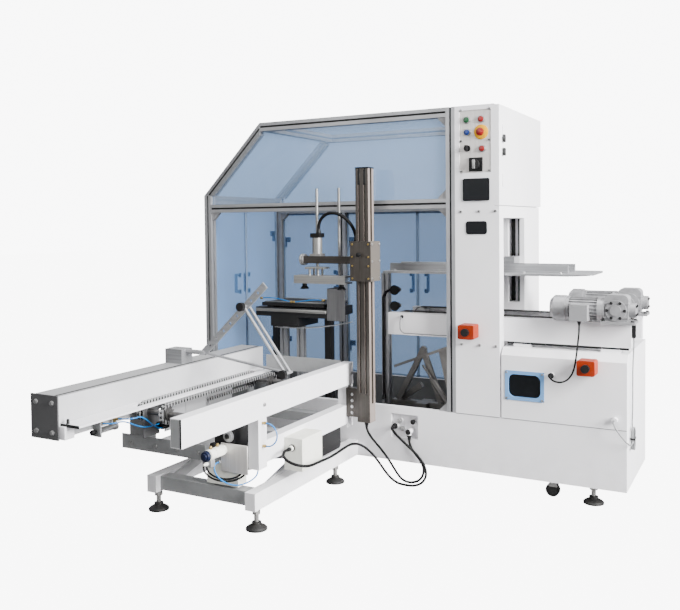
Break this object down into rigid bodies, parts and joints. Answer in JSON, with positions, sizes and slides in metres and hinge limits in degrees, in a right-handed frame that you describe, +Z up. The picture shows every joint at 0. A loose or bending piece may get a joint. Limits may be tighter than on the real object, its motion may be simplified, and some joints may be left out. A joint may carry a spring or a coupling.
{
  "type": "case erector",
  "caption": "Automatic case erector with a front blank magazine on a levelled stand, vacuum pick head, glazed guard, control column and side-belt outfeed.",
  "frame": {"origin": "middle of the machine's box, on the floor", "axes": "+X along the case path towards the outfeed, +Y from the magazine to the back, +Z up"},
  "size_m": [2.308, 2.184, 1.795],
  "materials": {
    "white_paint": "satin powder coat",
    "grey_paint": "satin",
    "dark_paint": "satin",
    "profile_alu": "anodised",
    "steel": "brushed",
    "nickel": "nickel plated",
    "clear_sheet": "tinted clear sheet",
    "black_plastic": "matt",
    "screen": "gloss",
    "buttons": "gloss",
    "orange_plastic": "satin",
    "ivory_plastic": "matt",
    "belt_rubber": "matt",
    "chain_steel": "oiled",
    "bezel": "satin film",
    "cable_black": "matt",
    "tube_blue": "gloss",
    "motor_cast": "cast, silver paint"
  },
  "bodies": {
    "machine": {"base_walls": "white_paint", "base_body": "white_paint", "outfeed_housing": "white_paint", "window_bezel": "bezel", "dark_windows": "screen", "levelling_feet": "black_plastic", "casters": "black_plastic", "column_front": "white_paint", "column_back": "white_paint", "control_cabinet": "white_paint", "control_plate": "white_paint", "push_buttons": "buttons", "black_knobs": "black_plastic", "stop_boxes": "orange_plastic", "enclosure_posts": "profile_alu", "enclosure_rails": "profile_alu", "enclosure_cross_rails": "profile_alu", "enclosure_slopes": "profile_alu", "upper_panes": "clear_sheet", "door_hinges": "black_plastic", "conveyor_beams": "white_paint", "side_belts": "belt_rubber", "belt_drums": "steel", "drive_motors": "motor_cast", "drive_gearboxes": "motor_cast", "stand_rails": "white_paint", "stand_crossbars": "grey_paint", "stand_arms": "grey_paint", "stand_posts": "white_paint", "magazine_rail": "white_paint", "magazine_guide": "grey_paint", "guide_plate": "white_paint", "magazine_crossmembers": "grey_paint", "junction_box": "ivory_plastic", "lift_motor": "dark_paint", "feed_chains": "chain_steel", "chain_sprockets": "chain_steel", "stack_stop": "profile_alu", "mast": "nickel", "former_table": "dark_paint", "flap_folders": "profile_alu", "stand_cable": "cable_black", "mast_cable": "cable_black", "motor_cable": "cable_black", "sensor_cable": "grey_paint", "sensor_hank": "grey_paint", "air_tube": "tube_blue"},
    "side_door_front": {"side_door_front": "clear_sheet"},
    "side_door_rear": {"side_door_rear": "clear_sheet"},
    "back_door_left": {"back_door_left": "clear_sheet"},
    "back_door_centre": {"back_door_centre": "clear_sheet"},
    "back_door_right": {"back_door_right": "clear_sheet"},
    "cabinet_door": {"cabinet_door": "white_paint"},
    "pick_carriage": {"carriage": "nickel", "head_arm": "dark_paint", "head_cylinder": "profile_alu", "vacuum_hose": "cable_black"},
    "suction_head": {"suction_bar": "profile_alu", "suction_cups": "black_plastic"},
    "press": {"press_plate": "white_paint"}
  },
  "joints": [
    {"name": "side_door_front_hinge", "type": "hinge", "parent": "machine", "child": "side_door_front", "pos_m": [-1.125, 0.342, 0.9], "axis": [0, 0, 1], "range_deg": [0, 100]},
    {"name": "side_door_rear_hinge", "type": "hinge", "parent": "machine", "child": "side_door_rear", "pos_m": [-1.125, 1.006, 0.9], "axis": [0, 0, -1], "range_deg": [0, 100]},
    {"name": "back_door_left_hinge", "type": "hinge", "parent": "machine", "child": "back_door_left", "pos_m": [-1.068, 1.063, 0.85], "axis": [0, 0, 1], "range_deg": [0, 100]},
    {"name": "back_door_centre_hinge", "type": "hinge", "parent": "machine", "child": "back_door_centre", "pos_m": [-0.6105, 1.063, 0.85], "axis": [0, 0, 1], "range_deg": [0, 100]},
    {"name": "back_door_right_hinge", "type": "hinge", "parent": "machine", "child": "back_door_right", "pos_m": [0.306, 1.063, 0.85], "axis": [0, 0, -1], "range_deg": [0, 100]},
    {"name": "cabinet_door_hinge", "type": "hinge", "parent": "machine", "child": "cabinet_door", "pos_m": [0.567, 1.034, 1.56], "axis": [0, 0, 1], "range_deg": [0, 110]},
    {"name": "carriage_lift", "type": "slide", "parent": "machine", "child": "pick_carriage", "axis": [0, 0, 1], "range_m": [-0.18, 0.25]},
    {"name": "suction_stroke", "type": "slide", "parent": "pick_carriage", "child": "suction_head", "axis": [0, 0, 1], "range_m": [-0.1, 0]},
    {"name": "press_lift", "type": "slide", "parent": "machine", "child": "press", "axis": [0, 0, 1], "range_m": [-0.06, 0.17]}
  ]
}
